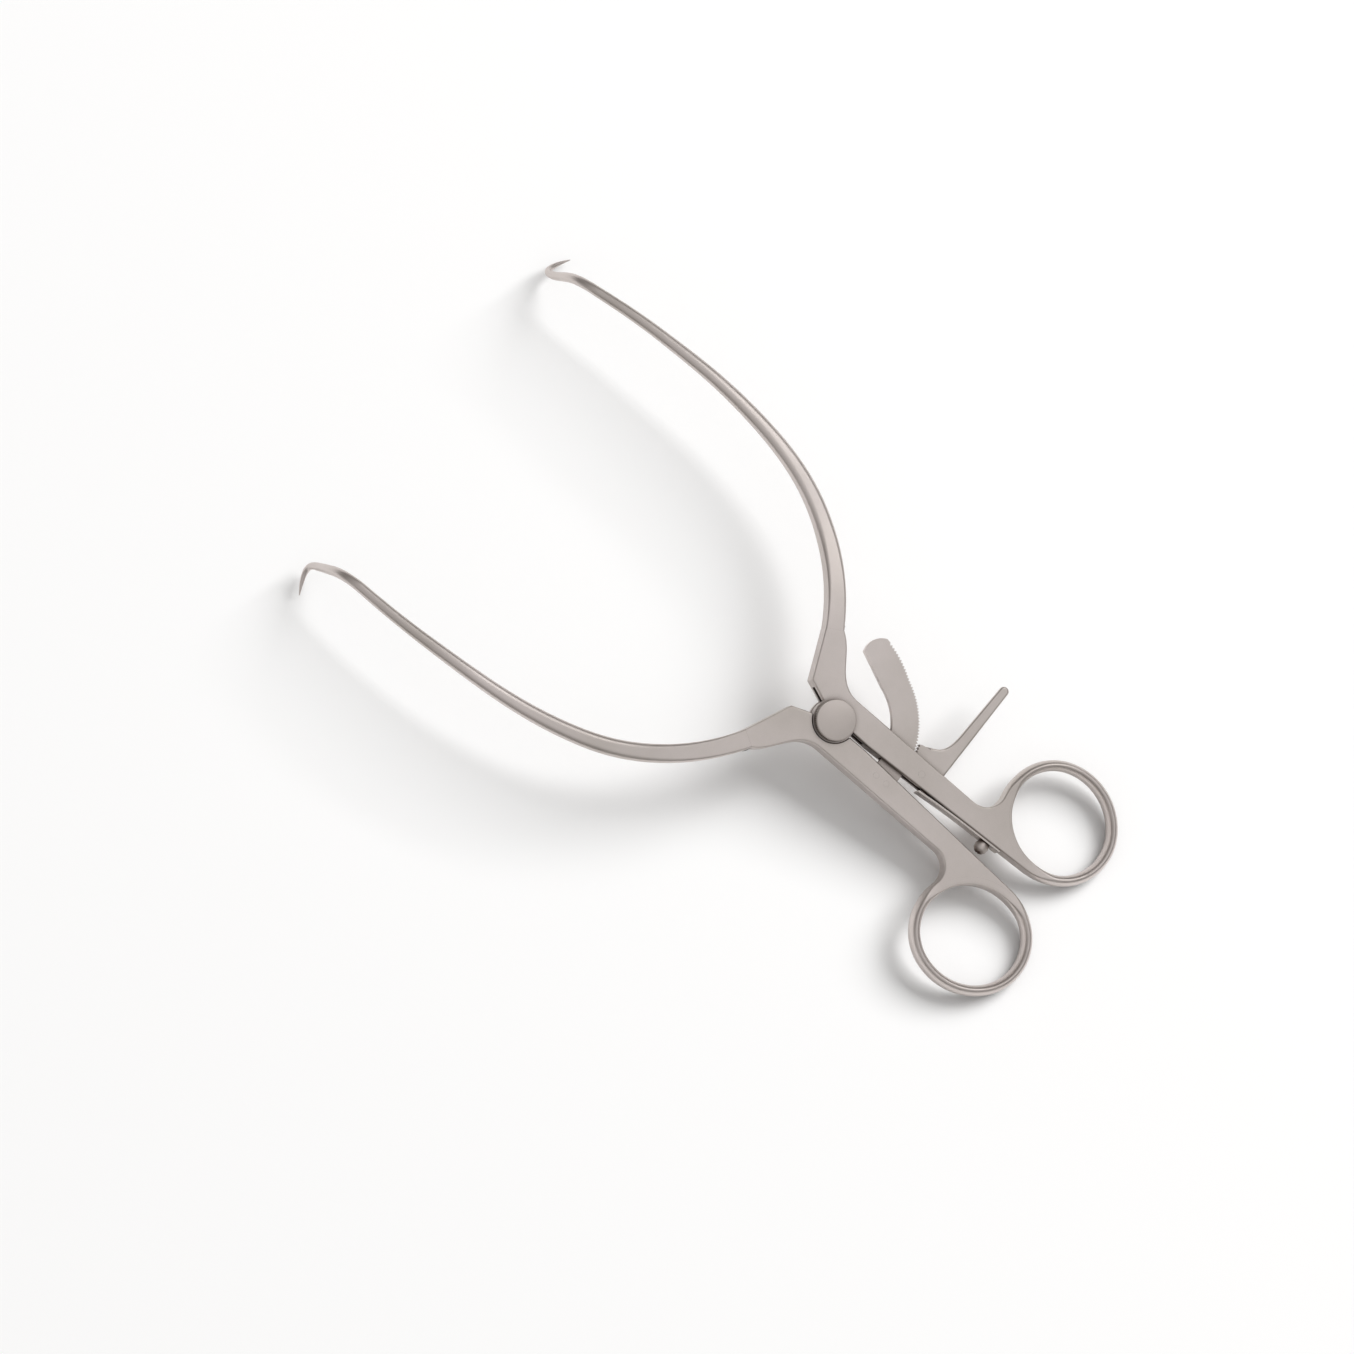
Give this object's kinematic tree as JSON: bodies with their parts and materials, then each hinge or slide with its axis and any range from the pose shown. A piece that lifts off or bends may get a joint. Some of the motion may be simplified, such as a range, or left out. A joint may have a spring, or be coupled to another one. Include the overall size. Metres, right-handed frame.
{
  "type": "self retaining retractor",
  "caption": "Surgical retractor: two pivoted arms with finger rings and single prongs, held open by a curved ratchet bar with a sprung release lever.",
  "frame": {"origin": "on the pivot axis at the flat underside of the box joint, level with the flush end of the pivot screw", "axes": "+Z along the pivot axis to the knurled screw head, +X from the finger rings to the prongs, +Y to the half that carries the ratchet bar"},
  "size_m": [0.1811, 0.101, 0.0385],
  "materials": {
    "forged_steel": "satin, bead blasted",
    "ratchet_steel": "satin, bead blasted",
    "screw_steel": "satin",
    "spring_steel": "bright drawn strip",
    "pin_steel": "ground flush"
  },
  "bodies": {
    "fork_half": {"fork_arm": "forged_steel", "lever_pin": "pin_steel", "leaf_spring": "spring_steel", "spring_screw": "screw_steel"},
    "tongue_half": {"tongue_arm": "forged_steel", "ratchet_bar": "ratchet_steel", "ratchet_rivet_front": "pin_steel", "ratchet_rivet_rear": "pin_steel"},
    "lever": {"release_lever": "ratchet_steel"},
    "screw": {"pivot_screw": "screw_steel"}
  },
  "joints": [
    {"name": "arm_pivot", "type": "hinge", "parent": "fork_half", "child": "tongue_half", "pos_m": [0, 0, 0.00225], "axis": [0, 0, 1], "range_deg": [-40, 0]},
    {"name": "lever_turn", "type": "hinge", "parent": "fork_half", "child": "lever", "pos_m": [-0.0234, -0.0038, 0.00225], "axis": [0, 0, -1], "range_deg": [-6, 8], "stiffness_Nm_per_rad": 0.04, "springref_deg": -14.9, "deforming": ["leaf_spring"]},
    {"name": "screw_turn", "type": "hinge", "parent": "fork_half", "child": "screw", "pos_m": [0, 0, 0.00225], "axis": [0, 0, 1], "continuous": true}
  ]
}
